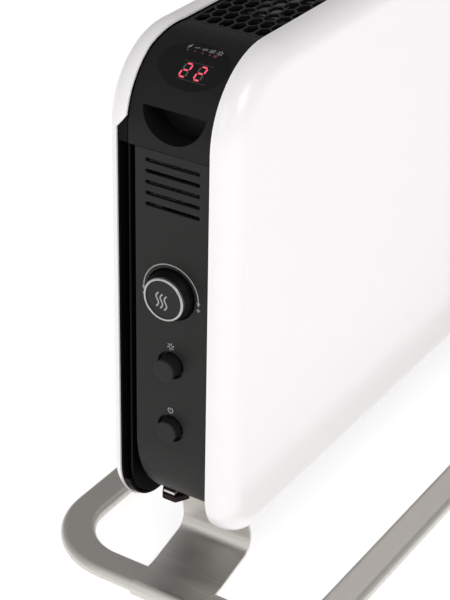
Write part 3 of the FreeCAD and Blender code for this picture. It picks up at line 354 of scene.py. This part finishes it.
# The switches, sensor, motor and display module are black plastic made darker still: painted shade
# for the dark inside seen through the slots.
housing_black_and_painted_shade = finish("switch housing and painted shade", (0.008, 0.008, 0.008), 0.5, specular=0.1)
raised(housing_black_and_painted_shade, pattern(housing_black_and_painted_shade, even(2500), 3), 0.1, 0.0001)
dress(housing_black_and_painted_shade, "encoder_body", "encoder_plunger", "fan_switch", "power_switch",
      "tilt_switch_case", "room_sensor", "blower_motor", "display_module")
natural = finish("terminal nylon", (0.75, 0.73, 0.66), 0.5)
raised(natural, pattern(natural, even(900), 3), 0.1, 0.0001)
dress(natural, "terminal_block")
red_lens = finish("red lamp lens", (0.35, 0.03, 0.03), 0.2)
raised(red_lens, pattern(red_lens, even(1500), 2), 0.05, 0.0001)
dress(red_lens, "indicator_lamps")

# %% [markdown]
# ## The display window
# A smoked acrylic window reads as black glass until something behind it is lit. The solid stays,
# in a glossy black; the digits and symbols are laid just over it, as they would look.

# %% Display window
smoked = finish("smoked window", (0.004, 0.004, 0.004), 0.12, specular=0.15)
raised(smoked, pattern(smoked, even(60), 1), 0.01, 0.0002)
dress(smoked, "display_window")


def light(name, colour, strength):
    """Lit segment: coloured emission over a dark base."""
    material = finish(name, tuple(c * 0.3 for c in colour), 0.4)
    shader = material.node_tree.nodes["Principled BSDF"]
    shader.inputs["Emission Color"].default_value = (*colour, 1)
    shader.inputs["Emission Strength"].default_value = strength
    return material


lit_red = light("lit digit red", (0.76, 0.085, 0.135), 1.0)
dim_red = light("dim lamp red", (0.16, 0.03, 0.034), 0.35)
unlit = finish("unlit segment", (0.06, 0.06, 0.05), 0.4)
glass_grey = finish("digit glass", (0.04, 0.041, 0.042), 0.5, specular=0.1)
icon_grey = finish("display ink", (0.17, 0.17, 0.195), 0.5)
print_grey = finish("printed grey", (0.3, 0.3, 0.285), 0.55)

# %% [markdown]
# ## Digits
# A seven-segment digit is seven short bars on a slanted box. Each bar is a stroke that narrows
# at both ends; a letter string says which ones are lit, and the rest are left faintly visible.

# %% Two-digit display
DIGIT_WIDTH, DIGIT_HEIGHT, SLANT = 5.2 * MM, 10.6 * MM, math.tan(math.radians(11))
SEGMENT = 1.35 * MM
GLASS = 0.05 * MM
DIGIT_UP = -5.3 * MM


def segment(a, b, at):
    """Bar from a to b in digit units (0 to 1 across, 0 to 2 up), slanted, with pointed ends."""
    ends = np.array([a, b], float) * (DIGIT_WIDTH, DIGIT_HEIGHT / 2)
    ends -= (DIGIT_WIDTH / 2, DIGIT_HEIGHT / 2)
    ends[:, 0] += ends[:, 1] * SLANT + at
    ends[:, 1] += DIGIT_UP
    along = ends[1] - ends[0]
    along = along / np.linalg.norm(along) * SEGMENT * 0.42
    path = line(ends[0] + along, ends[1] - along, 13)
    return path, SEGMENT * np.clip(np.minimum(np.arange(13), 12 - np.arange(13)) / 2.0 + 0.25, 0, 1)


SEGMENTS = {"a": ((0, 2), (1, 2)), "b": ((1, 1), (1, 2)), "c": ((1, 0), (1, 1)),
            "d": ((0, 0), (1, 0)), "e": ((0, 0), (0, 1)), "f": ((0, 1), (0, 2)),
            "g": ((0, 1), (1, 1))}
TWO = "abged"
for index, middle in enumerate((-2.5 * MM, 9.5 * MM)):
    for shown, material, label in ((True, lit_red, "lit"), (False, unlit, "unlit")):
        bars = [segment(*ends, middle) for key, ends in SEGMENTS.items() if (key in TWO) == shown]
        printed("digit_%d_%s" % (index + 1, label), bars, on_corner, material, "root",
                GLASS, GLASS + 0.08 * MM)
glass_path = line((-7.0 * MM, DIGIT_UP), (16.7 * MM, DIGIT_UP), 16)
printed("digit_glass", [(glass_path, 14.6 * MM)], on_corner, glass_grey, "root",
        -0.02 * MM, GLASS)

# %% [markdown]
# ## Symbols on the window
# Five symbols sit over five lamps: a bolt, one, two and three waves, and a fan. A wave is a
# stroke along a sine; the fan is six curved blades at equal angles. The last lamp is larger.

# %% Window symbols and lamps
ICON_UP, LAMP_UP = 14.2 * MM, 10.6 * MM
BOLT_THIN, BOLT_THICK = 0.8 * MM, 1.0 * MM
WAVE_LENGTH, WAVE_HEIGHT, WAVE_STEP, WAVE_INK = 4.4 * MM, 0.35 * MM, 1.15 * MM, 0.6 * MM
BLADE_INK = 0.7 * MM
LAMP_RADIUS, LAST_LAMP_RADIUS = 0.75 * MM, 1.3 * MM
LAMP_SHIFT, LAST_LAMP_SHIFT = 0.1 * MM, 2.0 * MM
ICONS = [-9.6 * MM, -3.6 * MM, 2.6 * MM, 8.6 * MM, 14.8 * MM]


def wave(across, up, length, height):
    """Sine of one period along the across direction."""
    t = np.linspace(-0.5, 0.5, 25)
    return np.stack([across + t * length, up + height * np.sin(2 * np.pi * t)], axis=1)


def star(across, up, radius, arms):
    """Strokes through a centre, at equal angles."""
    angles = np.arange(arms) * math.pi / arms + math.pi / 2
    return [line((across - radius * math.cos(a), up - radius * math.sin(a)),
                 (across + radius * math.cos(a), up + radius * math.sin(a))) for a in angles]


def blades(across, up, inner, outer, count):
    """Fan blades: curved strokes at equal angles, each swept forward as its radius grows."""
    radius = np.linspace(inner, outer, 17)
    sweep = 0.5 * ((radius - inner) / (outer - inner)) ** 2
    starts = np.arange(count) * 2 * math.pi / count
    return [np.stack([across + radius * np.cos(a + sweep), up + radius * np.sin(a + sweep)], axis=1)
            for a in starts]


def bolt_stroke(start, end, width):
    """Straight stroke between two points given in millimetres from the first symbol's middle."""
    return line((ICONS[0] + start[0] * MM, ICON_UP + start[1] * MM),
                (ICONS[0] + end[0] * MM, ICON_UP + end[1] * MM)), width


bolt = [bolt_stroke((1.4, 2.0), (-1.0, -0.3), BOLT_THIN),
        bolt_stroke((-1.3, 0.0), (1.3, 0.0), BOLT_THICK),
        bolt_stroke((1.0, 0.3), (-1.4, -2.0), BOLT_THIN)]
printed("symbol_bolt", bolt, on_corner, icon_grey, "root")
for count in (1, 2, 3):
    rows = [wave(ICONS[count], ICON_UP + (i - (count - 1) / 2) * WAVE_STEP, WAVE_LENGTH, WAVE_HEIGHT)
            for i in range(count)]
    printed("symbol_wave_%d" % count, [(row, round_ends(row, WAVE_INK)) for row in rows],
            on_corner, icon_grey, "root")
printed("symbol_fan_mode",
        [(p, round_ends(p, BLADE_INK)) for p in blades(ICONS[4], ICON_UP, 0.5 * MM, 2.5 * MM, 6)],
        on_corner, icon_grey, "root")


def disc(across, up, radius, count=17):
    """Round dot as one stroke: the width at each point is the circle's chord there."""
    t = np.cos(np.linspace(math.pi, 0, count))
    path = np.stack([across + t * radius, np.full(count, up)], axis=1)
    return path, 2 * radius * np.sqrt(np.clip(1 - t ** 2, 0.001, 1))


for index, across in enumerate(ICONS):
    material = unlit if index == 0 else dim_red
    last = index == len(ICONS) - 1
    size = LAST_LAMP_RADIUS if last else LAMP_RADIUS
    across -= LAST_LAMP_SHIFT if last else LAMP_SHIFT
    printed("lamp_spot_%d" % (index + 1), [disc(across, LAMP_UP, size)], on_corner,
            material, "root")

# %% [markdown]
# ## Marks on the plate
# The knob has a printed half circle over it that ends in two arrowheads, with a minus and a plus
# beneath them. The arc is one stroke round the knob's centre; an arrowhead is a stroke whose
# width falls from full to nothing.

# %% Marks round the knob
ARC_RADIUS, INK = 23.6 * MM, 0.9 * MM
HEAD_LENGTH, HEAD_WIDTH, HEAD_POINT = 3.2 * MM, 3.0 * MM, 0.05 * MM
SIGN_UP, MINUS_HALF, PLUS_HALF = KNOB_Z - 6 * MM, 1.2 * MM, 1.6 * MM
turn = np.linspace(math.pi, 0, 97)
arc = np.stack([ARC_RADIUS * np.cos(turn), KNOB_Z + ARC_RADIUS * np.sin(turn)], axis=1)
marks = [(arc, INK)]
for side in (-1, 1):
    head = line((side * ARC_RADIUS, KNOB_Z), (side * ARC_RADIUS, KNOB_Z - HEAD_LENGTH), 9)
    marks.append((head, np.linspace(HEAD_WIDTH, HEAD_POINT, 9)))
minus = line((-ARC_RADIUS - MINUS_HALF, SIGN_UP), (-ARC_RADIUS + MINUS_HALF, SIGN_UP))
marks.append((minus, round_ends(minus, INK)))
for path in star(ARC_RADIUS, SIGN_UP, PLUS_HALF, 2):
    marks.append((path, round_ends(path, INK)))
printed("knob_scale", marks, on_plate, print_grey, "root")

# %% [markdown]
# ## Heat waves on the knob
# Three slanted waves are printed on the knob's face, so they ride with the knob and turn with
# it. Each is a sine drawn upwards, leaning to the right as it rises.

# %% Heat waves
HEAT_HEIGHT, HEAT_SWING, HEAT_LEAN, HEAT_INK = 12.0 * MM, 1.5 * MM, 2.2 * MM, 1.25 * MM
HEAT_STEP, HEAT_DROP, HEAT_SHIFT = 3.5 * MM, 0.8 * MM, 1.7 * MM
t = np.linspace(-0.5, 0.5, 41)
waves = []
for k in (-1, 0, 1):
    across = k * HEAT_STEP - HEAT_SHIFT + HEAT_SWING * np.sin(2 * np.pi * t + math.pi) + t * HEAT_LEAN
    path = np.stack([across, KNOB_Z + t * HEAT_HEIGHT - HEAT_SHIFT - k * HEAT_DROP], axis=1)
    waves.append((path, round_ends(path, HEAT_INK)))
printed("knob_heat_waves", waves, on_knob, print_grey, "knob")

# %% [markdown]
# ## Symbols over the buttons
# A fan of six blades over the upper button, and a ring with a stroke over the lower one.

# %% Button symbols
FAN_Z, POWER_Z = 234.7 * MM, 179.5 * MM
POWER_RADIUS, TICK_FOOT, TICK_HEAD = 2.1 * MM, 0.3 * MM, 2.2 * MM
fan_blades = [(p, round_ends(p, BLADE_INK)) for p in blades(0, FAN_Z, 0.8 * MM, 3.1 * MM, 6)]
printed("fan_symbol", fan_blades, on_plate, print_grey, "root")
gap = math.radians(20)
sweep = np.linspace(math.pi / 2 + gap, math.pi / 2 + 2 * math.pi - gap, 61)
ring = np.stack([POWER_RADIUS * np.cos(sweep), POWER_Z + POWER_RADIUS * np.sin(sweep)], axis=1)
tick = line((0, POWER_Z + TICK_FOOT), (0, POWER_Z + TICK_HEAD))
printed("power_symbol", [(path, round_ends(path, BLADE_INK)) for path in (ring, tick)],
        on_plate, print_grey, "root")

# %% [markdown]
# ## Floor, light and camera
# The floor is wide enough to fill the camera's view. It glows a
# little, like a light table, so no hard shadow falls on it. A soft panel at the left gives the
# face its fall-off, a weaker one lights the black end, and the world is darker behind the heater
# so that the aluminium has something to reflect.

# %% Floor
def floor_plane(half, z):
    """Square of four corners at a height."""
    corners = np.array([[-half, -half, z], [half, -half, z], [half, half, z], [-half, half, z]])
    return corners, [[0, 1, 2, 3]]


floor_finish = finish("pale floor", (0.93, 0.93, 0.93), 0.7)
lit_floor = floor_finish.node_tree.nodes["Principled BSDF"]
lit_floor.inputs["Emission Color"].default_value = (1, 1, 1, 1)
lit_floor.inputs["Emission Strength"].default_value = 0.55
raised(floor_finish, pattern(floor_finish, even(40)), 0.02, 0.0005)
FLOOR_HALF, FLOOR_GAP = 12.0, 0.2 * MM
floor = mesh_piece("studio_floor", *floor_plane(FLOOR_HALF, cad_box[0][2] - FLOOR_GAP), floor_finish)

world = bpy.data.worlds.new("studio")
world.use_nodes = True
shade = world.node_tree
sky = shade.nodes.new("ShaderNodeTexCoord")
toward = shade.nodes.new("ShaderNodeVectorMath")
toward.operation = "DOT_PRODUCT"
toward.inputs[1].default_value = (0.74, 0.46, 0.49)
ramp = shade.nodes.new("ShaderNodeValToRGB")
ramp.color_ramp.elements[0].position = 0.45
ramp.color_ramp.elements[0].color = (0.62, 0.62, 0.62, 1)
ramp.color_ramp.elements[1].position = 0.95
ramp.color_ramp.elements[1].color = (0.3, 0.295, 0.29, 1)
shade.links.new(sky.outputs["Generated"], toward.inputs[0])
shade.links.new(toward.outputs["Value"], ramp.inputs["Fac"])
shade.links.new(ramp.outputs["Color"], shade.nodes["Background"].inputs["Color"])
bpy.context.scene.world = world
bpy.context.scene.view_settings.view_transform = "Standard"

# %% Lights
def soft_panel(name, position, target, size, power):
    """Rectangular area lamp aimed at a point."""
    lamp = bpy.data.lights.new(name, "AREA")
    lamp.shape = "RECTANGLE"
    lamp.size, lamp.size_y = size
    lamp.energy = power
    holder = bpy.data.objects.new(name, lamp)
    direction = Vector(target) - Vector(position)
    holder.matrix_world = (Matrix.Translation(position)
                           @ direction.to_track_quat("-Z", "Y").to_matrix().to_4x4())
    bpy.context.collection.objects.link(holder)


soft_panel("key", (-1.5, -1.9, 2.2), (-0.3, 0, 0.25), (1.4, 1.4), 20)
soft_panel("end fill", (-2.6, 0.6, 1.4), (-0.37, 0, 0.25), (1.0, 1.4), 6)

# %% Camera
AZIMUTH, ELEVATION, ROLL = (math.radians(v) for v in (-58.0, 29.56, 1.16))
CAMERA_PLACE = Vector((-1.3269, -0.6438, 0.9285))
LENS, SENSOR = 110.7, 36.0
back = Vector((math.sin(AZIMUTH) * math.cos(ELEVATION),
               -math.cos(AZIMUTH) * math.cos(ELEVATION), math.sin(ELEVATION)))
right = (-back).cross(Vector((0, 0, 1))).normalized()
up = right.cross(-back)
rolled_right = math.cos(ROLL) * right + math.sin(ROLL) * up
rolled_up = math.cos(ROLL) * up - math.sin(ROLL) * right
camera_data = bpy.data.cameras.new("camera")
camera_data.lens = LENS
camera_data.sensor_width = SENSOR
camera = bpy.data.objects.new("camera", camera_data)
turned = Matrix((rolled_right, rolled_up, back)).transposed().to_4x4()
camera.matrix_world = Matrix.Translation(CAMERA_PLACE) @ turned
bpy.context.collection.objects.link(camera)
bpy.context.scene.camera = camera
print("camera at", [round(v, 3) for v in camera.location])
